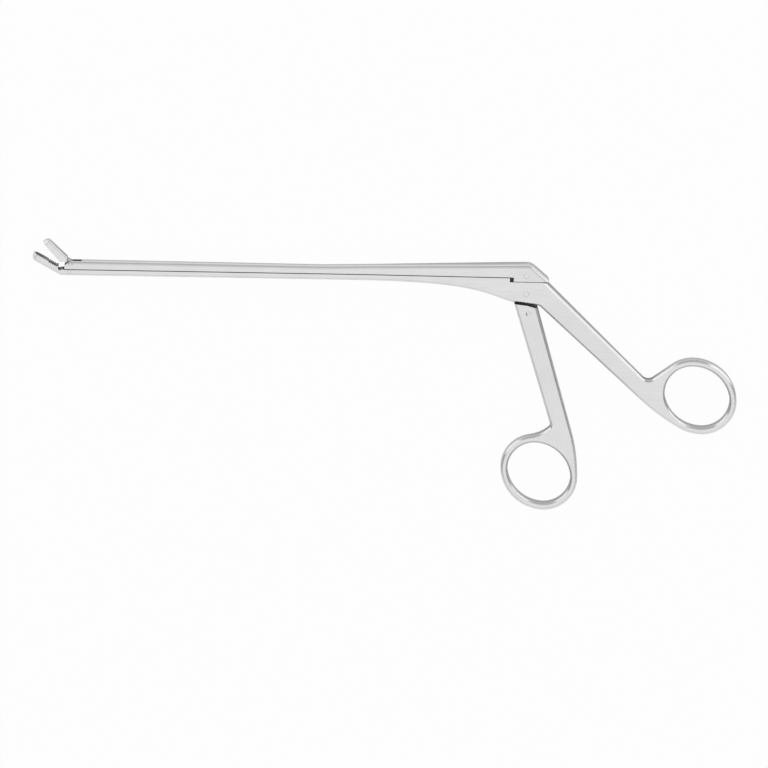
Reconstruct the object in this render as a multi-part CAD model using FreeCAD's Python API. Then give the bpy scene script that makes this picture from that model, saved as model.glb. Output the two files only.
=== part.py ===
# Bone rongeur with a sliding upper shaft, lying on its side, jaws open.
# Lengths are millimetres. X runs along the shaft with the jaws towards -X, Y points from the
# fixed shaft to the sliding shaft, and Z is across the instrument. The handle pivot is the origin
# in X and Y, and the side on which the instrument lies is Z = 0.

import FreeCAD
import Part
import math
import os

# Thickness across the instrument
block_thickness = 7.0
shaft_width = 4.6
handle_end_thickness = 4.7
shaft_flare_start_x = -60.0
shaft_flare_end_x = -10.0

# Fits
slide_gap = 0.05
slide_end_room = 0.3
pin_running_clearance = 0.04
slot_side_clearance = 0.08

# Fixed shaft and joint block
shaft_nose_overhang = 3.0
shaft_bottom_y = 3.95
split_line_y = 6.25
rear_split_line_y = 4.6
shaft_sweep_start_x = -62.0
shaft_sweep_handle_length = 44.5
block_throat_x = -16.0
block_throat_y = -0.2
block_front_bottom_x = -4.8
block_front_bottom_y = -3.3
block_rear_bottom_x = 5.1
block_rear_bottom_y = -4.6
block_corner_radius = 3.0
crotch_radius = 1.0
step_gap_x = -6.2
step_gap_length = 1.4
body_edge_chamfer = 0.8
seam_edge_break = 0.15

# Sliding shaft
slider_brow_setback = 0.4
slider_nose_overhang = 1.7
slider_nose_y = 7.7
slider_front_top_y = 9.6
slider_waist_x = -76.0
slider_waist_top_y = 9.25
slider_rear_top_y = 11.25
slider_slope_start_x = 1.7
slider_slope_end_x = 8.0
slider_slope_end_y = 5.75
slider_rear_x = 8.4
slider_heel_radius = 4.5
slider_round_share = 0.45

# T-shaped keys under the sliding shaft and their windows in the fixed shaft
first_key_setback = 7.2
second_key_x = -112.0
third_key_x = -66.0
key_length = 6.0
key_neck_width = 1.4
key_neck_depth = 0.8
key_head_width = 2.6
key_head_height = 0.8

# Pins
handle_pin_diameter = 2.2
slider_pin_diameter = 2.0
slider_pin_y = 7.0
jaw_pivot_diameter = 1.3
jaw_drive_diameter = 1.2
jaw_pivot_x = -171.2
jaw_pivot_y = 5.3
jaw_drive_arm = 3.1
rivet_diameter = 1.6
rivet_x = 0.9
rivet_y = -7.6

# Jaws, along the closed jaw line
jaw_line_angle = 151.0
jaw_open_angle = 20.0
jaw_reach = 14.9
jaw_rim_offset = -0.05
jaw_rim_gap = 0.1
lower_jaw_depth = 2.55
jaw_tip_radius = 2.0
jaw_edge_radius = 0.9
cup_wall = 0.65
cup_depth = 1.5
cup_rear_reach = 4.4
jaw_root_reach = 1.5
tooth_count = 5
tooth_pitch = 0.75
tooth_depth = 0.5
tooth_row_start = 4.9
relief_reach = 3.7
relief_depth = 0.3
relief_radius = 0.75
upper_jaw_tip_thickness = 2.2
upper_jaw_root_thickness = 3.15
upper_jaw_root_reach = 4.4
upper_jaw_shoulder_reach = 3.73
upper_jaw_shoulder_height = 1.9
upper_jaw_heel_reach = 4.16
upper_jaw_heel_height = 1.4
upper_jaw_rim_start = 5.2
tang_width = 2.0
tang_eye_radius = 1.15
tang_wall = 0.6
tang_corner_spread = 38.0
tang_rear_corner_angle = -30.0
drive_slot_travel = 0.12
upper_fork_depth = 4.7
lower_fork_depth = 1.9
lower_fork_overhang = 2.4

# Drive tongue
tongue_thickness = 2.6
tongue_top_y = 8.9
tongue_top_width = 4.4
tongue_waist_width = 5.2
tongue_root_y = -12.0
tongue_root_width = 4.2
tongue_slot_half_length = 3.3
tongue_swing_room = 0.8
tongue_slot_roof = 9.3

# Rear handle and thumb ring
rear_handle_top_x = 7.0
rear_handle_valley_x = 46.15
rear_handle_valley_y = -34.0
rear_handle_bottom_x = 42.84
rear_handle_bottom_y = -39.98
thumb_ring_x = 65.0
thumb_ring_y = -39.4
thumb_ring_turn = -40.0
thumb_hole_long_radius = 12.85
thumb_hole_short_radius = 11.2
thumb_valley_radius = 3.0
thumb_top_tangent = 37.0
thumb_bottom_tangent = -30.0

# Front handle and finger ring
handle_front_top_x = -4.4
handle_front_top_y = -3.9
handle_middle_top_x = 0.6
handle_middle_top_y = -4.5
handle_rear_top_x = 4.25
handle_rear_top_y = -5.55
handle_valley_x = 10.35
handle_valley_y = -51.8
handle_rear_bottom_x = 16.8
handle_rear_bottom_y = -49.4
finger_ring_x = 6.25
finger_ring_y = -70.05
finger_ring_turn = -45.0
finger_hole_long_radius = 12.6
finger_hole_short_radius = 10.9
finger_valley_radius = 1.6
finger_top_tangent = 8.0
finger_bottom_tangent = -90.0
ring_band_width = 2.6
ring_end_tightness = 0.92
ring_hole_chamfer = 0.7

# How the handles thin from the block towards the rings
handle_taper_start = 10.5
handle_taper_end = 52.0

# Sizes that follow from those above
half_block = block_thickness / 2.0
half_shaft = shaft_width / 2.0
half_handle_end = handle_end_thickness / 2.0
slider_edge_radius = slider_round_share * shaft_width
step_face_x = step_gap_x + step_gap_length
slider_bottom_y = split_line_y + slide_gap
slider_rear_bottom_y = rear_split_line_y + slide_gap
shaft_front_x = jaw_pivot_x - shaft_nose_overhang
slider_front_top_x = jaw_pivot_x + slider_brow_setback
slider_front_nose_x = jaw_pivot_x - slider_nose_overhang
key_front_positions = (jaw_pivot_x + first_key_setback, second_key_x, third_key_x)
slide_travel = 2.0 * jaw_drive_arm * math.sin(math.radians(jaw_open_angle / 2.0))
jaw_drive_x = jaw_pivot_x + slide_travel / 2.0
jaw_drive_y = jaw_pivot_y + jaw_drive_arm * math.cos(math.radians(jaw_open_angle / 2.0))

# Reaches past the whole instrument, and the distance within which two places count as one
far = 300.0
taper_reach_across = 60.0
same_place = 0.02
cut_overrun = 1.0


def point(x, y, z=0.0):
    return FreeCAD.Vector(x, y, z)


def line(start, end):
    return Part.LineSegment(start, end).toShape()


def bezier(poles):
    curve = Part.BezierCurve()
    curve.setPoles(poles)
    return curve.toShape()


def direction(angle):
    turned = math.radians(angle)
    return point(math.cos(turned), math.sin(turned))


# Plate of an outline in X and Y, centred across the instrument
def prism(edges, thickness):
    face = Part.Face(Part.Wire(edges))
    plate = face.extrude(point(0, 0, thickness))
    plate.translate(point(0, 0, -thickness / 2.0))
    return plate


def polygon_prism(corners, thickness):
    edges = [line(corners[i - 1], corners[i]) for i in range(len(corners))]
    return prism(edges, thickness)


def box(x_range, y_range, z_width):
    corner = point(x_range[0], y_range[0], -z_width / 2.0)
    return Part.makeBox(x_range[1] - x_range[0], y_range[1] - y_range[0], z_width, corner)


def cylinder(x, y, diameter, length):
    return Part.makeCylinder(diameter / 2.0, length, point(x, y, -length / 2.0), point(0, 0, 1))


# Whether two places are the same seen along Z
def in_line(one, other):
    return math.hypot(one.x - other.x, one.y - other.y) < same_place


# Round the edges along Z of a plate that stand at a place
def round_corner(plate, place, radius):
    upright = []
    for edge in plate.Edges:
        ends = [vertex.Point for vertex in edge.Vertexes]
        if len(ends) == 2 and in_line(ends[0], place) and in_line(ends[1], place):
            upright.append(edge)
    return plate.makeFillet(radius, upright)


def middle_of(edge):
    return edge.valueAt((edge.FirstParameter + edge.LastParameter) / 2.0)


# Edges on the two side faces whose middle point passes the keep test
def rim_edges(shape, keep):
    found = []
    for edge in shape.Edges:
        middle = middle_of(edge)
        ends = [vertex.Point.z for vertex in edge.Vertexes]
        crosses = min(ends) < 0.0 < max(ends)
        if not crosses and abs(middle.z) > half_shaft / 2.0 and keep(middle):
            found.append(edge)
    return found


# Side taper: solid that is thick up to flat_until along a direction and thin from thin_from on
def side_taper(angle, start, flat_until, thin_from, thick, thin):
    upper = [(start, thick), (flat_until, thick), (thin_from, thin), (far, thin)]
    lower = [(along, -half) for along, half in reversed(upper)]
    corners = [point(along, -taper_reach_across, half) for along, half in upper + lower]
    edges = [line(corners[i - 1], corners[i]) for i in range(len(corners))]
    solid = Part.Face(Part.Wire(edges)).extrude(point(0, 2.0 * taper_reach_across, 0))
    solid.rotate(point(0, 0), point(0, 0, 1), angle)
    return solid


def shaft_taper(rear_reach):
    return side_taper(180.0, -rear_reach, -shaft_flare_end_x, -shaft_flare_start_x, half_block, half_shaft)


# Ring whose oval hole is four arcs that run smoothly into each other; the band keeps its width all round
class Ring:
    def __init__(self, x, y, turn, hole_long, hole_short):
        end_radius = ring_end_tightness * hole_short
        squares = hole_long ** 2 + hole_short ** 2 - 2.0 * hole_long * end_radius
        side_radius = squares / (2.0 * (hole_short - end_radius))
        along = direction(turn) * (hole_long - end_radius)
        across = direction(turn + 90.0) * (side_radius - hole_short)
        change = math.degrees(math.atan2(across.Length, along.Length))
        centre = point(x, y)
        self.arcs = [
            (turn - change, turn + change, centre + along, end_radius),
            (turn + change, turn + 180.0 - change, centre - across, side_radius),
            (turn + 180.0 - change, turn + 180.0 + change, centre - along, end_radius),
            (turn + 180.0 + change, turn + 360.0 - change, centre + across, side_radius),
        ]

    # Place on the band's outer edge that faces the given direction
    def outer_point(self, facing):
        for start, stop, centre, radius in self.arcs:
            if (facing - start) % 360.0 <= stop - start:
                return centre + direction(facing) * (radius + ring_band_width)

    # Arcs of the hole's edge, or of an edge that far outside it, between two facing directions
    def edges(self, first, last, outside):
        found = []
        for lap in (-360.0, 0.0, 360.0):
            for start, stop, centre, radius in self.arcs:
                low = max(first, start + lap)
                high = min(last, stop + lap)
                if high > low + same_place:
                    circle = Part.Circle(centre, point(0, 0, 1), radius + outside)
                    found.append(Part.ArcOfCircle(circle, math.radians(low), math.radians(high)).toShape())
        return found

    # Cut the hole through a plate and break its two edges
    def pierce(self, plate):
        first = self.arcs[0][0]
        wall = self.edges(first, first + 360.0, 0.0)
        pierced = plate.cut(prism(wall, 2.0 * block_thickness))
        starts = rim_edges(pierced, lambda middle: in_line(middle, middle_of(wall[0])))
        return pierced.makeChamfer(ring_hole_chamfer, starts)


thumb_ring = Ring(
    thumb_ring_x, thumb_ring_y, thumb_ring_turn, thumb_hole_long_radius, thumb_hole_short_radius
)
finger_ring = Ring(
    finger_ring_x, finger_ring_y, finger_ring_turn, finger_hole_long_radius, finger_hole_short_radius
)


def bearing(start, end):
    return math.degrees(math.atan2(end.y - start.y, end.x - start.x))


# Arc that leaves one place along a direction and ends at another
def arc_onward(start, leaving, end):
    bend = (bearing(start, end) - leaving + 180.0) % 360.0 - 180.0
    half_way = (end - start).Length / 2.0 / math.cos(math.radians(bend / 2.0))
    return Part.Arc(start, start + direction(leaving + bend / 2.0) * half_way, end).toShape()


# Where an arc that leaves a place along a direction runs smoothly into the line between two others
def smooth_join(start, leaving, line_start, line_end):
    heading = direction(leaving)
    run = direction(bearing(line_start, line_end))
    reach = (line_start - start).cross(run).z / heading.cross(run).z
    return start + (heading - run) * reach


# Fixed shaft: lower shaft, joint block and rear handle as one plate outline
def fixed_outline():
    handle_top = point(rear_handle_top_x, rear_split_line_y)
    valley = point(rear_handle_valley_x, rear_handle_valley_y)
    crotch = point(block_rear_bottom_x, block_rear_bottom_y)
    chin = point(block_front_bottom_x, block_front_bottom_y)
    sweep_start = point(shaft_sweep_start_x, shaft_bottom_y)
    ring_top = thumb_ring.outer_point(thumb_top_tangent + 90.0)
    ring_bottom = thumb_ring.outer_point(thumb_bottom_tangent - 90.0)
    handle_low = point(rear_handle_bottom_x, rear_handle_bottom_y)
    handle_bottom = smooth_join(ring_bottom, thumb_bottom_tangent + 180.0, crotch, handle_low)
    outline = [
        line(point(shaft_front_x, split_line_y), point(step_gap_x, split_line_y)),
        line(point(step_gap_x, split_line_y), point(step_gap_x, rear_split_line_y)),
        line(point(step_gap_x, rear_split_line_y), handle_top),
        line(handle_top, valley),
        arc_onward(ring_top, thumb_top_tangent + 180.0, valley),
        arc_onward(ring_bottom, thumb_bottom_tangent + 180.0, handle_bottom),
        line(handle_bottom, crotch),
        line(crotch, chin),
        bezier([
            chin,
            point(block_throat_x, block_throat_y),
            point(shaft_sweep_start_x + shaft_sweep_handle_length, shaft_bottom_y),
            sweep_start,
        ]),
        line(sweep_start, point(shaft_front_x, shaft_bottom_y)),
        line(point(shaft_front_x, shaft_bottom_y), point(shaft_front_x, split_line_y)),
    ]
    return outline + thumb_ring.edges(thumb_bottom_tangent - 90.0, thumb_top_tangent + 90.0, ring_band_width)


def fixed_plate():
    plate = prism(Part.__sortEdges__(fixed_outline()), block_thickness)
    plate = round_corner(plate, point(rear_handle_valley_x, rear_handle_valley_y), thumb_valley_radius)
    plate = round_corner(plate, point(block_rear_bottom_x, block_rear_bottom_y), crotch_radius)
    plate = round_corner(plate, point(block_front_bottom_x, block_front_bottom_y), block_corner_radius)
    handle_fall = bearing(point(0, 0), point(rear_handle_bottom_x, rear_handle_bottom_y))
    handle_taper = side_taper(
        handle_fall, 0.0, handle_taper_start, handle_taper_end, half_block, half_handle_end
    )
    plate = plate.common(shaft_taper(rear_handle_top_x).fuse(handle_taper)).removeSplitter()

    def worn(middle):
        on_handle = middle.x > rear_handle_top_x and middle.y < rear_split_line_y
        underneath = middle.y < shaft_bottom_y + same_place
        return on_handle or underneath

    def at_seam(middle):
        return middle.x < step_gap_x and abs(middle.y - split_line_y) < same_place

    plate = plate.makeChamfer(body_edge_chamfer, rim_edges(plate, worn))
    plate = plate.makeChamfer(seam_edge_break, rim_edges(plate, at_seam))
    return thumb_ring.pierce(plate)


# Jaw line frame: X is reach from the jaw pivot, Y is height over the closed jaw line's direction
def on_jaw_line(shape, open_angle):
    placed = shape.copy()
    placed.rotate(point(0, 0), point(1, 0, 0), 180.0)
    placed.rotate(point(0, 0), point(0, 0, 1), jaw_line_angle - open_angle)
    placed.translate(point(jaw_pivot_x, jaw_pivot_y))
    return placed


# Plan of a jaw, as wide as the shaft and with a round nose, as tall as it is long
def round_nosed_plan():
    radius = shaft_width / 2.0
    height = 2.0 * jaw_reach
    bar = Part.makeBox(height - radius, height, shaft_width, point(-jaw_reach, -jaw_reach, -radius))
    nose_middle = point(jaw_reach - radius, -jaw_reach)
    return bar.fuse(Part.makeCylinder(radius, height, nose_middle, point(0, 1, 0))).removeSplitter()


# Hollow of a jaw cup: a half-round trough with ball ends, sunk from the rim
def cup_hollow(rim, towards):
    radius = shaft_width / 2.0 - cup_wall
    axis_height = rim + towards * (cup_depth - radius)
    rear = point(cup_rear_reach + radius, axis_height)
    front = point(jaw_reach - cup_wall - radius, axis_height)
    trough = Part.makeCylinder(radius, front.x - rear.x, rear, point(1, 0, 0))
    return trough.fuse(Part.makeSphere(radius, rear)).fuse(Part.makeSphere(radius, front))


# Side profile of a jaw as a plate, the back corner of its tip rounded
def jaw_plate(corners, tip_corner):
    return round_corner(polygon_prism(corners, shaft_width), tip_corner, jaw_tip_radius)


# A place in X and Y seen in the jaw line frame
def seen_from_jaw_line(place):
    offset = place - point(jaw_pivot_x, jaw_pivot_y)
    return point(offset.dot(direction(jaw_line_angle)), offset.dot(direction(jaw_line_angle - 90.0)))


def lower_jaw():
    rim = jaw_rim_offset - jaw_rim_gap / 2.0
    floor = rim - lower_jaw_depth
    lift = direction(jaw_line_angle - 90.0).y
    rise = direction(jaw_line_angle).y
    bend = point((shaft_bottom_y - jaw_pivot_y - floor * lift) / rise, floor)
    belly = seen_from_jaw_line(point(jaw_pivot_x, shaft_bottom_y))
    corners = [point(jaw_root_reach, rim), point(jaw_reach, rim), point(jaw_reach, floor), bend, belly]
    jaw = jaw_plate(corners, corners[2])

    def underneath(middle):
        return middle.y < rim - lower_jaw_depth / 2.0

    jaw = jaw.makeChamfer(body_edge_chamfer, rim_edges(jaw, underneath))
    jaw = jaw.common(round_nosed_plan()).cut(cup_hollow(rim, -1.0))
    for index in range(tooth_count):
        root = tooth_row_start + index * tooth_pitch
        notch = [
            point(root, rim + tooth_depth),
            point(root + tooth_pitch, rim + tooth_depth),
            point(root + tooth_pitch, rim),
            point(root + tooth_pitch / 2.0, rim - tooth_depth),
            point(root, rim),
        ]
        jaw = jaw.cut(polygon_prism(notch, 2.0 * shaft_width))
    relief = cylinder(relief_reach, rim - relief_depth, 2.0 * relief_radius, 2.0 * shaft_width)
    nose_run = box(
        (slider_front_nose_x - slide_travel - slide_end_room, jaw_pivot_x),
        (split_line_y, slider_front_top_y),
        2.0 * shaft_width,
    )
    return on_jaw_line(jaw.cut(relief), 0.0).cut(nose_run)


# Windows and T slots that the keys of the sliding shaft run in
def key_slot(front_x):
    front = front_x - slide_travel - slide_end_room
    rear = front_x + key_length + slide_end_room
    window_rear = rear + key_length + 2.0 * slide_end_room
    neck_bottom = split_line_y - key_neck_depth
    head_bottom = neck_bottom - key_head_height - slide_gap
    top = split_line_y + slide_gap
    neck_width = key_neck_width + 2.0 * slide_gap
    head_width = key_head_width + 2.0 * slide_gap
    neck = box((front, window_rear), (head_bottom, top), neck_width)
    head = box((front, window_rear), (head_bottom, neck_bottom), head_width)
    window = box((rear, window_rear), (head_bottom, top), head_width)
    return neck.fuse(head).fuse(window)


def fixed_shaft():
    body = fixed_plate().fuse(lower_jaw())
    lower_fork = box(
        (jaw_pivot_x - lower_fork_overhang, jaw_pivot_x + lower_fork_depth),
        (shaft_bottom_y - shaft_width, split_line_y + shaft_width),
        tang_width + 2.0 * slot_side_clearance,
    )
    tongue_slot = box(
        (-tongue_slot_half_length - tongue_swing_room, tongue_slot_half_length + tongue_swing_room),
        (block_rear_bottom_y - block_thickness, rear_split_line_y + cut_overrun),
        tongue_thickness + 2.0 * slot_side_clearance,
    )
    body = body.cut(lower_fork).cut(tongue_slot)
    for front_x in key_front_positions:
        body = body.cut(key_slot(front_x))
    body = body.cut(cylinder(0, 0, handle_pin_diameter, 2.0 * block_thickness))
    body = body.cut(cylinder(jaw_pivot_x, jaw_pivot_y, jaw_pivot_diameter, 2.0 * shaft_width))
    return body.removeSplitter()


# Sliding shaft
def slider_corners():
    nose = point(slider_front_nose_x, slider_nose_y)
    brow = point(slider_front_top_x, slider_front_top_y)
    waist = point(slider_waist_x, slider_waist_top_y)
    heel = point(slider_slope_start_x, slider_rear_top_y)
    toe = point(slider_slope_end_x, slider_slope_end_y)
    return [
        toe,
        point(slider_rear_x, slider_rear_bottom_y),
        point(step_face_x, slider_rear_bottom_y),
        point(step_face_x, slider_bottom_y),
        point(slider_front_nose_x, slider_bottom_y),
        nose,
        brow,
        waist,
        heel,
    ]


def slider_key(front_x):
    neck_bottom = split_line_y - key_neck_depth - slide_gap
    neck = box((front_x, front_x + key_length), (neck_bottom, slider_bottom_y), key_neck_width)
    head = box(
        (front_x, front_x + key_length),
        (neck_bottom - key_head_height + slide_gap, neck_bottom),
        key_head_width,
    )
    return neck.fuse(head)


def sliding_shaft():
    body = polygon_prism(slider_corners(), block_thickness)
    body = round_corner(body, point(slider_slope_start_x, slider_rear_top_y), slider_heel_radius)
    body = body.common(shaft_taper(2.0 * slider_rear_x)).removeSplitter()

    def along_top(middle):
        return middle.y > 0.5 * (slider_nose_y + slider_bottom_y) and middle.x > slider_front_top_x

    def at_seam(middle):
        return min(abs(middle.y - slider_bottom_y), abs(middle.y - slider_rear_bottom_y)) < same_place

    body = body.makeFillet(slider_edge_radius, rim_edges(body, along_top))
    body = body.makeChamfer(seam_edge_break, rim_edges(body, at_seam))
    upper_fork = box(
        (slider_front_nose_x - tang_width, jaw_pivot_x + upper_fork_depth),
        (slider_bottom_y - cut_overrun, slider_rear_top_y),
        tang_width + 2.0 * slot_side_clearance,
    )
    tongue_slot = box(
        (-tongue_slot_half_length, tongue_slot_half_length),
        (slider_rear_bottom_y - cut_overrun, tongue_slot_roof),
        tongue_thickness + 2.0 * slot_side_clearance,
    )
    body = body.cut(upper_fork).cut(tongue_slot)
    for front_x in key_front_positions:
        body = body.fuse(slider_key(front_x))
    body = body.cut(cylinder(0, slider_pin_y, slider_pin_diameter, 2.0 * block_thickness))
    body = body.cut(cylinder(jaw_drive_x, jaw_drive_y, jaw_drive_diameter, 2.0 * shaft_width))
    return body.removeSplitter()


# Moving jaw: the upper cup with the tang that turns between the fork cheeks
def tang():
    drive_angle = jaw_line_angle - jaw_open_angle - 90.0 + jaw_open_angle / 2.0
    drive = direction(drive_angle) * jaw_drive_arm
    boss_radius = jaw_drive_diameter / 2.0 + pin_running_clearance + tang_wall
    rearward = direction(drive_angle + 90.0)
    upward = direction(drive_angle + tang_corner_spread)
    corners = [
        direction(tang_rear_corner_angle) * tang_eye_radius,
        point(upper_jaw_heel_reach, upper_jaw_heel_height),
        point(upper_jaw_rim_start + tang_wall, upper_jaw_heel_height / 2.0),
        point(upper_jaw_rim_start + tang_wall, upper_jaw_shoulder_height),
        point(upper_jaw_root_reach, jaw_rim_offset + upper_jaw_root_thickness - tang_wall / 2.0),
        drive + upward * boss_radius,
        drive + rearward * boss_radius,
        rearward * tang_eye_radius,
    ]
    plate = polygon_prism(corners, tang_width)
    plate = plate.fuse(cylinder(0, 0, 2.0 * tang_eye_radius, tang_width))
    plate = plate.fuse(cylinder(drive.x, drive.y, 2.0 * boss_radius, tang_width))
    plate = plate.cut(cylinder(0, 0, jaw_pivot_diameter + 2.0 * pin_running_clearance, 2.0 * tang_width))
    slot_width = jaw_drive_diameter + 2.0 * pin_running_clearance
    for travel in (-drive_slot_travel, drive_slot_travel):
        end = direction(drive_angle) * (jaw_drive_arm + travel)
        plate = plate.cut(cylinder(end.x, end.y, slot_width, 2.0 * tang_width))
    slot = box((jaw_drive_arm - drive_slot_travel, jaw_drive_arm + drive_slot_travel),
               (-slot_width / 2.0, slot_width / 2.0), 2.0 * tang_width)
    slot.rotate(point(0, 0), point(0, 0, 1), drive_angle)
    return plate.cut(slot).removeSplitter()


def moving_jaw():
    rim = jaw_rim_offset + jaw_rim_gap / 2.0
    corners = [
        point(upper_jaw_rim_start, rim),
        point(jaw_reach, rim),
        point(jaw_reach, rim + upper_jaw_tip_thickness),
        point(upper_jaw_root_reach, rim + upper_jaw_root_thickness),
        point(upper_jaw_shoulder_reach, upper_jaw_shoulder_height),
        point(upper_jaw_heel_reach, upper_jaw_heel_height),
    ]
    jaw = jaw_plate(corners, corners[2])
    halfway = 0.5 * (corners[2] + corners[3])

    def on_back(middle):
        return (middle - halfway).Length < jaw_reach / 4.0 and abs(middle.y - halfway.y) < jaw_edge_radius

    jaw = jaw.makeFillet(jaw_edge_radius, rim_edges(jaw, on_back))
    jaw = jaw.common(round_nosed_plan()).cut(cup_hollow(rim, 1.0)).fuse(tang())
    return on_jaw_line(jaw.removeSplitter(), jaw_open_angle)


# Drive tongue: the thin lever that is let into the handle, turns on the handle pin and
# pushes the sliding shaft by a pin in its open fork
def tongue_plate():
    lean = rivet_x / (rivet_y - handle_front_top_y)
    root_x = rivet_x + (tongue_root_y - rivet_y) * lean
    corners = [
        point(-tongue_top_width / 2.0, tongue_top_y),
        point(tongue_top_width / 2.0, tongue_top_y),
        point(tongue_waist_width / 2.0, 0),
        point(tongue_waist_width / 2.0, handle_front_top_y),
        point(root_x + tongue_root_width / 2.0, tongue_root_y),
        point(root_x - tongue_root_width / 2.0, tongue_root_y),
        point(-tongue_waist_width / 2.0, handle_front_top_y),
        point(-tongue_waist_width / 2.0, 0),
    ]
    return polygon_prism(corners, tongue_thickness)


def drive_tongue():
    plate = tongue_plate()
    through = 2.0 * tongue_thickness
    fork_width = slider_pin_diameter + 2.0 * pin_running_clearance
    fork_floor = slider_pin_y - pin_running_clearance
    plate = plate.cut(cylinder(0, fork_floor, fork_width, through))
    plate = plate.cut(box((-fork_width / 2.0, fork_width / 2.0), (fork_floor, far), through))
    plate = plate.cut(cylinder(0, 0, handle_pin_diameter + 2.0 * pin_running_clearance, through))
    return plate.cut(cylinder(rivet_x, rivet_y, rivet_diameter, through))


# Front handle with the finger ring
def finger_outline():
    front_top = point(handle_front_top_x, handle_front_top_y)
    rear_top = point(handle_rear_top_x, handle_rear_top_y)
    rear_low = point(handle_rear_bottom_x, handle_rear_bottom_y)
    valley = point(handle_valley_x, handle_valley_y)
    middle_top = point(handle_middle_top_x, handle_middle_top_y)
    ring_top = finger_ring.outer_point(finger_top_tangent + 90.0)
    ring_side = finger_ring.outer_point(finger_bottom_tangent + 90.0)
    rear_bottom = smooth_join(ring_side, finger_bottom_tangent + 180.0, rear_top, rear_low)
    outline = [
        line(front_top, middle_top),
        line(middle_top, rear_top),
        line(rear_top, rear_bottom),
        arc_onward(ring_side, finger_bottom_tangent + 180.0, rear_bottom),
        arc_onward(ring_top, finger_top_tangent, valley),
        line(valley, front_top),
    ]
    ring_last = finger_bottom_tangent + 90.0 + 360.0
    return outline + finger_ring.edges(finger_top_tangent + 90.0, ring_last, ring_band_width)


def finger_handle():
    plate = prism(Part.__sortEdges__(finger_outline()), block_thickness)
    plate = round_corner(plate, point(handle_valley_x, handle_valley_y), finger_valley_radius)
    fall = bearing(
        point(handle_front_top_x + handle_rear_top_x, handle_front_top_y + handle_rear_top_y),
        point(handle_valley_x + handle_rear_bottom_x, handle_valley_y + handle_rear_bottom_y),
    )
    taper = side_taper(
        fall, -block_thickness, handle_taper_start, handle_taper_end, half_block, half_handle_end
    )
    plate = plate.common(taper).removeSplitter()

    def below_shoulder(middle):
        return middle.y < handle_rear_top_y

    plate = plate.makeChamfer(body_edge_chamfer, rim_edges(plate, below_shoulder))
    plate = finger_ring.pierce(plate).cut(tongue_plate())
    return plate.cut(cylinder(rivet_x, rivet_y, rivet_diameter, 2.0 * block_thickness))


def pieces():
    return {
        "fixed_shaft": fixed_shaft(),
        "sliding_shaft": sliding_shaft(),
        "moving_jaw": moving_jaw(),
        "finger_handle": finger_handle(),
        "drive_tongue": drive_tongue(),
        "tongue_rivet": cylinder(rivet_x, rivet_y, rivet_diameter, block_thickness),
        "handle_pivot_pin": cylinder(0, 0, handle_pin_diameter, block_thickness),
        "slider_drive_pin": cylinder(0, slider_pin_y, slider_pin_diameter, block_thickness),
        "jaw_pivot_pin": cylinder(jaw_pivot_x, jaw_pivot_y, jaw_pivot_diameter, shaft_width),
        "jaw_drive_pin": cylinder(jaw_drive_x, jaw_drive_y, jaw_drive_diameter, shaft_width),
    }


def main():
    os.makedirs("parts", exist_ok=True)
    for name, shape in pieces().items():
        shape.translate(point(0, 0, half_block))
        print(name, len(shape.Solids), "solid", round(shape.Volume, 2), "mm3, valid", shape.isValid())
        shape.exportStep("parts/" + name + ".step")


main()
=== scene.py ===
import math
import bpy
from mathutils import Matrix, Vector


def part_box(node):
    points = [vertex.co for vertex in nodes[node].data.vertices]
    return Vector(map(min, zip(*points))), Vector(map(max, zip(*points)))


# Bone rongeur lying on its side on a white table, seen from above and a little from its top edge.
# Metres throughout; X runs along the shaft with the jaws at -X, Z is up from the table.

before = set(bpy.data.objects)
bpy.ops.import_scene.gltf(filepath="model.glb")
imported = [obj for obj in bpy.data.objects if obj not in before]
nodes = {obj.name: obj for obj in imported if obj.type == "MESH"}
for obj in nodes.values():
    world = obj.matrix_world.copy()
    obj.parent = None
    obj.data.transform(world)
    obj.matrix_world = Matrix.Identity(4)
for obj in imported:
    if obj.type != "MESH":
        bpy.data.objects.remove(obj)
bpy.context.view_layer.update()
print("frame loaded:", len(nodes), "nodes")


# small helpers for node trees

def addNode(tree, kind, x, y, **settings):
    node = tree.nodes.new(kind)
    node.location = (x, y)
    for name, value in settings.items():
        setattr(node, name, value)
    return node


def setInput(node, name, value):
    node.inputs[name].default_value = value
    return node


def addMath(tree, operation, x, y, first, second=None, third=None, clamp=False):
    node = addNode(tree, "ShaderNodeMath", x, y, operation=operation, use_clamp=clamp)
    for index, source in enumerate((first, second, third)):
        if source is None:
            continue
        if isinstance(source, (int, float)):
            node.inputs[index].default_value = source
        else:
            tree.links.new(source, node.inputs[index])
    return node.outputs[0]


def startGroup(name, inputs, outputs):
    group = bpy.data.node_groups.new(name, "ShaderNodeTree")
    for label, kind, value in inputs:
        socket = group.interface.new_socket(name=label, in_out="INPUT", socket_type=kind)
        if value is not None:
            socket.default_value = value
    for label, kind in outputs:
        group.interface.new_socket(name=label, in_out="OUTPUT", socket_type=kind)
    source = addNode(group, "NodeGroupInput", -900, 0)
    target = addNode(group, "NodeGroupOutput", 900, 0)
    return group, source, target


# shared effects: ground grain, soft rims, seam rings with painted shade on one side, painted shade
# in crevices

grainPattern = {
    "lines": (90, 2600, 2600),  # long thin lines, a third of a millimetre apart
    "lineDetail": 3.0,
    "patches": 85.0,  # hand-polished patches, about 1 cm
    "patchDetail": 2.5,
    "specks": 5200.0,  # blasted matt texture, finer than 0.2 mm
    "lightFrom": 0.38,  # the pattern's values between which the steel goes from light to dull
    "dullFrom": 0.62,
    "contrast": 4.0,
}


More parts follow.
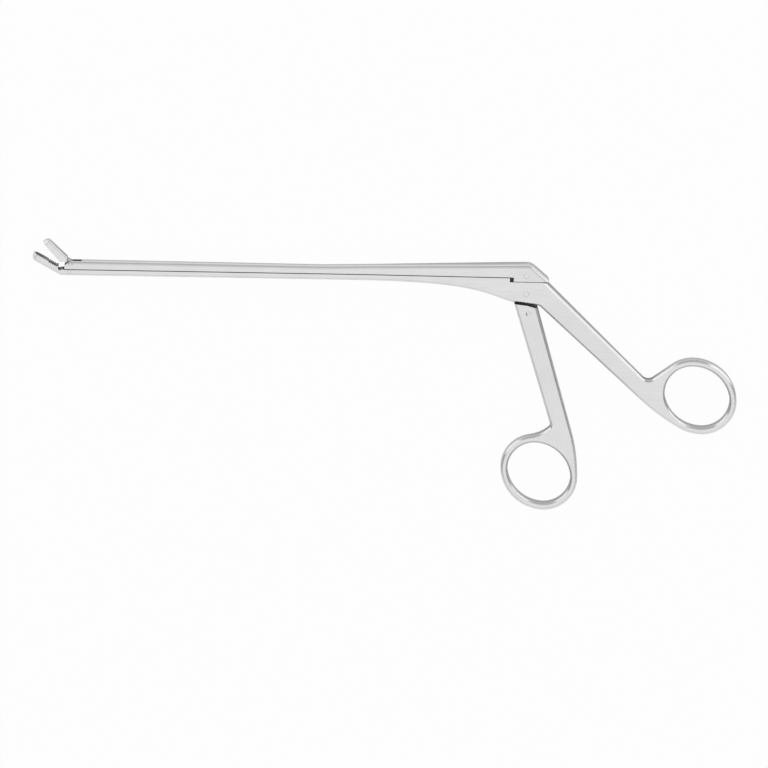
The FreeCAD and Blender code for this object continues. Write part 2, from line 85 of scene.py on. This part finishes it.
def makeGroundGrain():
    group, source, target = startGroup(
        "groundGrain",
        [
            ("Base Roughness", "NodeSocketFloat", 0.3),
            ("Roughness Spread", "NodeSocketFloat", 0.05),
            ("Light Steel", "NodeSocketColor", (0.72, 0.72, 0.73, 1)),
            ("Dull Steel", "NodeSocketColor", (0.66, 0.66, 0.68, 1)),
            ("Grain Turn", "NodeSocketFloat", 0.0),
        ],
        [
            ("Color", "NodeSocketColor"),
            ("Roughness", "NodeSocketFloat"),
            ("Height", "NodeSocketFloat"),
        ],
    )
    links = group.links
    coords = addNode(group, "ShaderNodeTexCoord", -900, -300)
    turn = addNode(group, "ShaderNodeVectorRotate", -700, -300, rotation_type="Z_AXIS")
    links.new(coords.outputs["Object"], turn.inputs["Vector"])
    links.new(source.outputs["Grain Turn"], turn.inputs["Angle"])
    stretch = addNode(group, "ShaderNodeMapping", -520, -300)
    stretch.inputs["Scale"].default_value = grainPattern["lines"]
    links.new(turn.outputs["Vector"], stretch.inputs["Vector"])
    grain = addNode(group, "ShaderNodeTexNoise", -320, -300)
    setInput(grain, "Scale", 1.0)
    setInput(grain, "Detail", grainPattern["lineDetail"])
    links.new(stretch.outputs["Vector"], grain.inputs["Vector"])
    cloud = addNode(group, "ShaderNodeTexNoise", -320, -20)
    setInput(cloud, "Scale", grainPattern["patches"])
    setInput(cloud, "Detail", grainPattern["patchDetail"])
    links.new(coords.outputs["Object"], cloud.inputs["Vector"])
    speck = addNode(group, "ShaderNodeTexNoise", -320, 260)
    setInput(speck, "Scale", grainPattern["specks"])
    setInput(speck, "Detail", 1.0)
    links.new(coords.outputs["Object"], speck.inputs["Vector"])
    halfCloud = addMath(group, "MULTIPLY", -260, 60, cloud.outputs["Fac"], 0.5)
    mixed = addMath(group, "MULTIPLY_ADD", -80, -200, grain.outputs["Fac"], 0.5, halfCloud)
    swing = addMath(group, "SUBTRACT", 80, -200, mixed, 0.5)
    spread = addMath(group, "MULTIPLY", 240, -200, swing, source.outputs["Roughness Spread"])
    base = source.outputs["Base Roughness"]
    rough = addMath(group, "MULTIPLY_ADD", 420, -200, spread, grainPattern["contrast"], base)
    tint = addNode(group, "ShaderNodeMix", 420, 160, data_type="RGBA")
    share = addNode(group, "ShaderNodeMapRange", 200, 160)
    setInput(share, "From Min", grainPattern["lightFrom"])
    setInput(share, "From Max", grainPattern["dullFrom"])
    links.new(mixed, share.inputs["Value"])
    links.new(share.outputs["Result"], tint.inputs["Factor"])
    links.new(source.outputs["Light Steel"], tint.inputs["A"])
    links.new(source.outputs["Dull Steel"], tint.inputs["B"])
    height = addMath(group, "ADD", 240, -420, grain.outputs["Fac"], speck.outputs["Fac"])
    links.new(tint.outputs["Result"], target.inputs["Color"])
    links.new(rough, target.inputs["Roughness"])
    links.new(height, target.inputs["Height"])
    return group


rimPattern = {
    "handleFromX": 0.008,  # the handles lie behind this X, the jaws in front of the next
    "jawToX": -0.172,
    "rubbedFrom": 0.995,  # rims are rubbed where the softened normal turns away from the face
    "rubbedMost": 0.85,
}


def makeSoftRims():
    group, source, target = startGroup(
        "softRims",
        [
            ("Shaft Radius", "NodeSocketFloat", 0.0002),
            ("Handle Radius", "NodeSocketFloat", 0.00025),
            ("Jaw Radius", "NodeSocketFloat", 0.0001),
            ("Handle From X", "NodeSocketFloat", rimPattern["handleFromX"]),
            ("Jaw To X", "NodeSocketFloat", rimPattern["jawToX"]),
        ],
        [("Normal", "NodeSocketVector"), ("Wear", "NodeSocketFloat")],
    )
    links = group.links
    coords = addNode(group, "ShaderNodeTexCoord", -900, -300)
    parts = addNode(group, "ShaderNodeSeparateXYZ", -720, -300)
    links.new(coords.outputs["Object"], parts.inputs["Vector"])
    along = parts.outputs["X"]
    onHandle = addMath(group, "GREATER_THAN", -520, -200, along, source.outputs["Handle From X"])
    onJaw = addMath(group, "LESS_THAN", -520, -400, along, source.outputs["Jaw To X"])
    handleMix = addNode(group, "ShaderNodeMix", -320, -100)
    links.new(onHandle, handleMix.inputs["Factor"])
    links.new(source.outputs["Shaft Radius"], handleMix.inputs["A"])
    links.new(source.outputs["Handle Radius"], handleMix.inputs["B"])
    jawMix = addNode(group, "ShaderNodeMix", -120, -200)
    links.new(onJaw, jawMix.inputs["Factor"])
    links.new(handleMix.outputs["Result"], jawMix.inputs["A"])
    links.new(source.outputs["Jaw Radius"], jawMix.inputs["B"])
    rounded = addNode(group, "ShaderNodeBevel", 80, -100, samples=8)
    links.new(jawMix.outputs["Result"], rounded.inputs["Radius"])
    face = addNode(group, "ShaderNodeNewGeometry", 80, -320)
    likeness = addNode(group, "ShaderNodeVectorMath", 280, -200, operation="DOT_PRODUCT")
    links.new(rounded.outputs["Normal"], likeness.inputs[0])
    links.new(face.outputs["Normal"], likeness.inputs[1])
    wear = addNode(group, "ShaderNodeMapRange", 460, -200)
    setInput(wear, "From Min", rimPattern["rubbedFrom"])
    setInput(wear, "From Max", rimPattern["rubbedMost"])
    links.new(likeness.outputs["Value"], wear.inputs["Value"])
    links.new(rounded.outputs["Normal"], target.inputs["Normal"])
    links.new(wear.outputs["Result"], target.inputs["Wear"])
    return group


ringPattern = {
    # the painted shade on one side of a pin's seam fades in over a fifth of a turn
    "fade": 2.5,  # the seam fades in over a fifth of a turn
}


# a dark joint ring round a pin; where Facing limits it to one side, that side's darkening is
# painted shade
def makeSeamAndShadeRing():
    group, source, target = startGroup(
        "seamAndShadeRing",
        [
            ("Centre", "NodeSocketVector", (0, 0, 0)),
            ("Radius", "NodeSocketFloat", 0.001),
            ("Width", "NodeSocketFloat", 0.0002),
            ("Facing", "NodeSocketVector", (1, 0, 0)),
            ("Facing From", "NodeSocketFloat", -1.5),
        ],
        [("Seam", "NodeSocketFloat")],
    )
    links = group.links
    coords = addNode(group, "ShaderNodeTexCoord", -900, -300)
    offset = addNode(group, "ShaderNodeVectorMath", -700, -200, operation="SUBTRACT")
    links.new(coords.outputs["Object"], offset.inputs[0])
    links.new(source.outputs["Centre"], offset.inputs[1])
    flat = addNode(group, "ShaderNodeVectorMath", -520, -200, operation="MULTIPLY")
    flat.inputs[1].default_value = (1, 1, 0)
    links.new(offset.outputs["Vector"], flat.inputs[0])
    distance = addNode(group, "ShaderNodeVectorMath", -340, -200, operation="LENGTH")
    links.new(flat.outputs["Vector"], distance.inputs[0])
    radius, width = source.outputs["Radius"], source.outputs["Width"]
    gap = addMath(group, "SUBTRACT", -160, -200, radius, distance.outputs["Value"])
    share = addMath(group, "DIVIDE", 20, -200, gap, width)
    seam = addMath(group, "SUBTRACT", 200, -200, 1.0, share, clamp=True)
    outward = addNode(group, "ShaderNodeVectorMath", -340, -450, operation="NORMALIZE")
    links.new(flat.outputs["Vector"], outward.inputs[0])
    towards = addNode(group, "ShaderNodeVectorMath", -160, -450, operation="DOT_PRODUCT")
    links.new(outward.outputs["Vector"], towards.inputs[0])
    links.new(source.outputs["Facing"], towards.inputs[1])
    least = source.outputs["Facing From"]
    beyond = addMath(group, "SUBTRACT", 20, -450, towards.outputs["Value"], least)
    shown = addMath(group, "MULTIPLY", 200, -450, beyond, ringPattern["fade"], clamp=True)
    links.new(addMath(group, "MULTIPLY", 400, -300, seam, shown), target.inputs["Seam"])
    return group


# painted shade in crevices: a mask from ambient occlusion that is one where the surface is hemmed
# in
def makePaintedShadeGroup(name, ownSurface):
    group, source, target = startGroup(
        name,
        [
            ("Reach", "NodeSocketFloat", 0.001),
            ("Open", "NodeSocketFloat", 0.8),
            ("Deep", "NodeSocketFloat", 0.2),
        ],
        [("Crevice Shade", "NodeSocketFloat")],
    )
    links = group.links
    hemmed = addNode(group, "ShaderNodeAmbientOcclusion", -500, 0, samples=8, only_local=ownSurface)
    links.new(source.outputs["Reach"], hemmed.inputs["Distance"])
    depth = addNode(group, "ShaderNodeMapRange", -200, 0, interpolation_type="SMOOTHSTEP")
    links.new(hemmed.outputs["AO"], depth.inputs["Value"])
    links.new(source.outputs["Open"], depth.inputs["From Min"])
    links.new(source.outputs["Deep"], depth.inputs["From Max"])
    links.new(depth.outputs["Result"], target.inputs["Crevice Shade"])
    return group


groundGrain = makeGroundGrain()
softRims = makeSoftRims()
seamAndShadeRing = makeSeamAndShadeRing()
paintedCreviceShade = makePaintedShadeGroup("paintedCreviceShade", False)
paintedHollowShade = makePaintedShadeGroup("paintedHollowShade", True)
print("shared effects built")


# steel finishes

def makeSteel(name, look, ring=None):
    material = bpy.data.materials.new(name)
    material.use_nodes = True
    tree = material.node_tree
    tree.nodes.clear()
    links = tree.links
    grain = addNode(tree, "ShaderNodeGroup", -900, 100, node_tree=groundGrain)
    setInput(grain, "Base Roughness", look["roughness"])
    setInput(grain, "Roughness Spread", look["roughnessSpread"])
    setInput(grain, "Light Steel", look["lightSteel"] + (1,))
    setInput(grain, "Dull Steel", look["dullSteel"] + (1,))
    setInput(grain, "Grain Turn", math.radians(look["grainTurn"]))
    rims = addNode(tree, "ShaderNodeGroup", -900, -250, node_tree=softRims)
    setInput(rims, "Shaft Radius", look["shaftRim"])
    setInput(rims, "Handle Radius", look["handleRim"])
    setInput(rims, "Jaw Radius", look["jawRim"])
    rubbed = addNode(tree, "ShaderNodeMix", -500, 150, data_type="RGBA")
    wearShare = addMath(tree, "MULTIPLY", -700, -50, rims.outputs["Wear"], look["rimWear"])
    links.new(wearShare, rubbed.inputs["Factor"])
    links.new(grain.outputs["Color"], rubbed.inputs["A"])
    rubbed.inputs["B"].default_value = look["rubbedSteel"] + (1,)
    colour = rubbed.outputs["Result"]
    # dark seam ring round a pin: partly a dark joint, partly painted shade on one side
    if ring:
        seam = addNode(tree, "ShaderNodeGroup", -500, 400, node_tree=seamAndShadeRing)
        setInput(seam, "Centre", ring["centre"])
        setInput(seam, "Radius", ring["radius"])
        setInput(seam, "Width", ring["width"])
        setInput(seam, "Facing", ring["facing"])
        setInput(seam, "Facing From", ring["facingFrom"])
        dark = addNode(tree, "ShaderNodeMix", -250, 250, data_type="RGBA")
        darkness = addMath(tree, "MULTIPLY", -380, 400, seam.outputs["Seam"], ring["share"])
        links.new(darkness, dark.inputs["Factor"])
        links.new(colour, dark.inputs["A"])
        dark.inputs["B"].default_value = ring["colour"] + (1,)
        colour = dark.outputs["Result"]
    # painted shade: the colour darkens towards the shade colour in seams, gaps and the jaws' cups
    depths = []
    for index, (effect, reach, opened, deep) in enumerate(look["paintedCreviceShade"]):
        hollow = addNode(tree, "ShaderNodeGroup", -900, 620 + 200 * index, node_tree=effect)
        setInput(hollow, "Reach", reach)
        setInput(hollow, "Open", opened)
        setInput(hollow, "Deep", deep)
        depths.append(hollow.outputs["Crevice Shade"])
    deepest = depths[0]
    for index, depth in enumerate(depths[1:]):
        deepest = addMath(tree, "MAXIMUM", -600 + 150 * index, 620, deepest, depth)
    shaded = addNode(tree, "ShaderNodeMix", -120, 350, data_type="RGBA")
    shadow = addMath(tree, "MULTIPLY", -250, 620, deepest, look["paintedShadeShare"])
    links.new(shadow, shaded.inputs["Factor"])
    links.new(colour, shaded.inputs["A"])
    shaded.inputs["B"].default_value = look["creviceSteel"] + (1,)
    colour = shaded.outputs["Result"]
    smoother = addMath(tree, "MULTIPLY", -500, -80, wearShare, look["rimPolish"])
    ground = grain.outputs["Roughness"]
    roughness = addMath(tree, "SUBTRACT", -300, -20, ground, smoother, clamp=True)
    bump = addNode(tree, "ShaderNodeBump", -300, -300)
    setInput(bump, "Strength", look["grainStrength"])
    setInput(bump, "Distance", look["grainDepth"])
    links.new(grain.outputs["Height"], bump.inputs["Height"])
    links.new(rims.outputs["Normal"], bump.inputs["Normal"])
    steel = addNode(tree, "ShaderNodeBsdfPrincipled", 0, 0)
    setInput(steel, "Metallic", 1.0)
    links.new(colour, steel.inputs["Base Color"])
    links.new(roughness, steel.inputs["Roughness"])
    links.new(bump.outputs["Normal"], steel.inputs["Normal"])
    output = addNode(tree, "ShaderNodeOutputMaterial", 300, 0)
    links.new(steel.outputs["BSDF"], output.inputs["Surface"])
    return material


def finishNode(name, material):
    slots = nodes[name].material_slots
    if not slots:
        nodes[name].data.materials.append(material)
    for slot in slots:
        slot.material = material


satinLook = {
    "lightSteel": (0.80, 0.80, 0.80),
    "dullSteel": (0.755, 0.755, 0.76),
    "rubbedSteel": (0.84, 0.84, 0.84),
    "roughness": 0.25,
    "roughnessSpread": 0.05,
    "grainTurn": 0.0,
    "shaftRim": 0.0002,
    "handleRim": 0.00025,
    "jawRim": 0.0001,
    "rimWear": 0.5,
    "rimPolish": 0.05,
    "grainStrength": 0.12,
    "grainDepth": 0.00002,
    "paintedCreviceShade": [
        # painted shade in crevices: effect, reach, least and most hemmed in
        (paintedCreviceShade, 0.0005, 0.97, 0.65),  # seams
        (paintedCreviceShade, 0.0022, 0.62, 0.3),  # the step gap and the shoulder gap
        (paintedHollowShade, 0.004, 0.9, 0.55),  # the cups of the jaws
    ],
    "paintedShadeShare": 1.0,
    "creviceSteel": (0.025, 0.025, 0.027),
}
finishNode("fixed_shaft", makeSteel("fixedShaftSatinSteel", satinLook))
finishNode("sliding_shaft", makeSteel("slidingShaftSatinSteel", satinLook))
# painted shade colour for the shoulder gap, used by the finger handle and the tongue
gapShadeColour = (0.15, 0.15, 0.155)  # the shoulder gap is open below, so it is less dark than a seam
fingerLook = dict(satinLook, grainTurn=-74.0, shaftRim=0.00045, handleRim=0.00045)
fingerLook.update(creviceSteel=gapShadeColour)
finishNode("finger_handle", makeSteel("fingerHandleSatinSteel", fingerLook))

jawLook = dict(satinLook, roughness=0.22, grainTurn=-48.0, shaftRim=0.00012, handleRim=0.00012)
finishNode("moving_jaw", makeSteel("movingJawGroundSteel", jawLook))
# The tongue's steel is painted darker than the rest: painted shade for its place deep in the
# block's slot.
tongueLook = dict(satinLook, lightSteel=(0.42, 0.42, 0.43), dullSteel=(0.36, 0.36, 0.37))
tongueLook.update(shaftRim=0.0001, handleRim=0.0001, creviceSteel=gapShadeColour)
finishNode("drive_tongue", makeSteel("driveTongueShadedSteel", tongueLook))

pinLook = dict(satinLook, shaftRim=0.00005, handleRim=0.00005, jawRim=0.00005, paintedShadeShare=0.5)
pinSeamShade = {"colour": (0.15, 0.15, 0.155)}
pinSeamShades = {
    # pin: share of dark, width, side on which the seam shows darker as painted shade,
    # and how far round it shows (under -1 is all round, a plain dark seam)
    "handle_pivot_pin": (0.5, 0.00025, (0.8, -0.6, 0), -0.6),
    "slider_drive_pin": (0.45, 0.00025, (-0.6, -0.8, 0), -0.5),
    "jaw_pivot_pin": (0.2, 0.0002, (0, -1, 0), -1.5),
    "jaw_drive_pin": (0.2, 0.0002, (0, -1, 0), -1.5),
    "tongue_rivet": (1.0, 0.0006, (-0.95, -0.3, 0), 0.35),
}
for pinName, (share, width, facing, facingFrom) in pinSeamShades.items():
    low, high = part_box(pinName)
    centre = (Vector(low) + Vector(high)) / 2
    ring = dict(pinSeamShade, width=width, centre=tuple(centre), radius=(high[0] - low[0]) / 2)
    ring.update(share=share, facing=facing, facingFrom=facingFrom)
    finishNode(pinName, makeSteel(pinName + "Steel", pinLook, ring))
print("steel finishes assigned")


# white table

table = {
    "size": 6.0,
    "drop": 0.0001,  # just under the instrument, so that the faces don't meet
    "paint": (0.72, 0.72, 0.72),
    "whiteness": 0.97,  # how much of the table shows as plain white; the rest carries the shadow
    "reflectedWhite": 0.8,
    "shadeReach": 0.012,  # how far from the instrument its shade on the table shows in the steel
    "shadeFrom": 0.4,
    "shadeBeside": 0.25,
}


def makeTable():
    bpy.ops.mesh.primitive_plane_add(size=table["size"], location=(0, 0, -table["drop"]))
    plane = bpy.context.object
    plane.name = "table_top"
    material = bpy.data.materials.new("whiteTable")
    material.use_nodes = True
    tree = material.node_tree
    tree.nodes.clear()
    paint = addNode(tree, "ShaderNodeBsdfDiffuse", -300, 100)
    paint.inputs["Color"].default_value = table["paint"] + (1,)
    white = addNode(tree, "ShaderNodeEmission", -300, -100)
    rays = addNode(tree, "ShaderNodeLightPath", -900, 300)
    hemmed = addNode(tree, "ShaderNodeAmbientOcclusion", -900, -200, samples=8)
    setInput(hemmed, "Distance", table["shadeReach"])
    shade = addNode(tree, "ShaderNodeMapRange", -700, -200)
    setInput(shade, "From Min", table["shadeFrom"])
    setInput(shade, "To Min", table["shadeBeside"])
    tree.links.new(hemmed.outputs["AO"], shade.inputs["Value"])
    strength = addNode(tree, "ShaderNodeMix", -500, -100)
    tree.links.new(rays.outputs["Is Camera Ray"], strength.inputs["Factor"])
    tree.links.new(shade.outputs["Result"], strength.inputs["A"])
    setInput(strength, "B", 1.0)
    tree.links.new(strength.outputs["Result"], white.inputs["Strength"])
    camera, glossy = rays.outputs["Is Camera Ray"], rays.outputs["Is Glossy Ray"]
    clear = rays.outputs["Is Transmission Ray"]
    seen = addMath(tree, "MULTIPLY", -500, 400, camera, table["whiteness"])
    mirrored = addMath(tree, "MULTIPLY", -500, 250, glossy, table["reflectedWhite"])
    through = addMath(tree, "MULTIPLY", -500, 100, clear, table["whiteness"])
    direct = addMath(tree, "ADD", -400, 350, seen, mirrored)
    share = addMath(tree, "ADD", -320, 350, direct, through, clamp=True)
    mix = addNode(tree, "ShaderNodeMixShader", 0, 0)
    tree.links.new(share, mix.inputs["Fac"])
    tree.links.new(paint.outputs["BSDF"], mix.inputs[1])
    tree.links.new(white.outputs["Emission"], mix.inputs[2])
    output = addNode(tree, "ShaderNodeOutputMaterial", 200, 0)
    tree.links.new(mix.outputs["Shader"], output.inputs["Surface"])
    plane.data.materials.append(material)


makeTable()
print("table laid")


# studio light

studio = {
    "sky": 0.95,
    "skyFrom": 0.95,  # sine of the height over the horizon from which the sky is even
    "horizon": 0.36,
    "darkHorizon": 0.2,  # towards the two ends of the instrument
    "darkFrom": 0.3,  # share of X in the direction at which the horizon starts to darken
    "darkest": 0.95,
    "lamps": [
        # name, place, aims at, width, height, watts
        ("jawSideSoftbox", (-0.93, 0.6, 0.24), (-0.02, -0.02, 0), 0.9, 0.45, 1.05),
        ("ringSideSoftbox", (0.93, 0.6, 0.24), (0.02, -0.02, 0), 0.9, 0.45, 1.12),
    ],
}


def makeWorld():
    world = bpy.data.worlds.new("paleStudio")
    bpy.context.scene.world = world
    world.use_nodes = True
    tree = world.node_tree
    tree.nodes.clear()
    coords = addNode(tree, "ShaderNodeTexCoord", -900, 0)
    parts = addNode(tree, "ShaderNodeSeparateXYZ", -720, 0)
    tree.links.new(coords.outputs["Generated"], parts.inputs["Vector"])
    rim = addNode(tree, "ShaderNodeMapRange", -540, -200, interpolation_type="SMOOTHSTEP")
    setInput(rim, "From Min", studio["darkFrom"])
    setInput(rim, "From Max", studio["darkest"])
    setInput(rim, "To Min", studio["horizon"])
    setInput(rim, "To Max", studio["darkHorizon"])
    sideways = addMath(tree, "ABSOLUTE", -720, -200, parts.outputs["X"])
    tree.links.new(sideways, rim.inputs["Value"])
    height = addNode(tree, "ShaderNodeMapRange", -540, 100)
    setInput(height, "From Min", 0.0)
    setInput(height, "From Max", studio["skyFrom"])
    tree.links.new(parts.outputs["Z"], height.inputs["Value"])
    glow = addNode(tree, "ShaderNodeMix", -300, 0)
    tree.links.new(height.outputs["Result"], glow.inputs["Factor"])
    tree.links.new(rim.outputs["Result"], glow.inputs["A"])
    setInput(glow, "B", studio["sky"])
    rays = addNode(tree, "ShaderNodeLightPath", -540, 400)
    camera, through = rays.outputs["Is Camera Ray"], rays.outputs["Is Transmission Ray"]
    seen = addMath(tree, "MAXIMUM", -300, 400, camera, through)
    strength = addNode(tree, "ShaderNodeMix", -100, 200)
    tree.links.new(seen, strength.inputs["Factor"])
    tree.links.new(glow.outputs["Result"], strength.inputs["A"])
    setInput(strength, "B", 1.0)
    background = addNode(tree, "ShaderNodeBackground", 100, 0)
    background.inputs["Color"].default_value = (1, 1, 1, 1)
    tree.links.new(strength.outputs["Result"], background.inputs["Strength"])
    output = addNode(tree, "ShaderNodeOutputWorld", 300, 0)
    tree.links.new(background.outputs["Background"], output.inputs["Surface"])


def makeLamps():
    for name, place, target, width, height, watts in studio["lamps"]:
        data = bpy.data.lights.new(name, "AREA")
        data.shape = "RECTANGLE"
        data.size = width
        data.size_y = height
        data.energy = watts
        lamp = bpy.data.objects.new(name, data)
        bpy.context.collection.objects.link(lamp)
        lamp.location = place
        lamp.rotation_euler = (Vector(target) - Vector(place)).to_track_quat("-Z", "Y").to_euler()


makeWorld()
makeLamps()
print("studio lit")


# camera, as the photograph was taken

shot = {
    "aim": (-0.0526, -0.0358, 0.007),  # what stands at the middle of the picture
    "distance": 4.0,
    "lens": 500.0,
    "tilt": 16.0,  # degrees from straight above, towards the instrument's top edge
    "roll": 1.0,
}


def makeCamera():
    tilt = math.radians(shot["tilt"])
    roll = math.radians(shot["roll"])
    right = Vector((math.cos(roll), math.sin(roll), 0))
    lean = math.sin(tilt)
    back = Vector((-lean * math.sin(roll), lean * math.cos(roll), math.cos(tilt)))
    up = back.cross(right)
    place = Vector(shot["aim"]) + back * shot["distance"]
    data = bpy.data.cameras.new("photoCamera")
    data.lens = shot["lens"]
    data.sensor_width = 36.0
    data.clip_start = 0.01
    data.clip_end = 20.0
    camera = bpy.data.objects.new("photoCamera", data)
    bpy.context.collection.objects.link(camera)
    turn = Matrix((right, up, back)).transposed().to_4x4()
    camera.matrix_world = Matrix.Translation(place) @ turn
    bpy.context.scene.camera = camera


makeCamera()
bpy.context.scene.view_settings.view_transform = "Standard"
print("camera set")
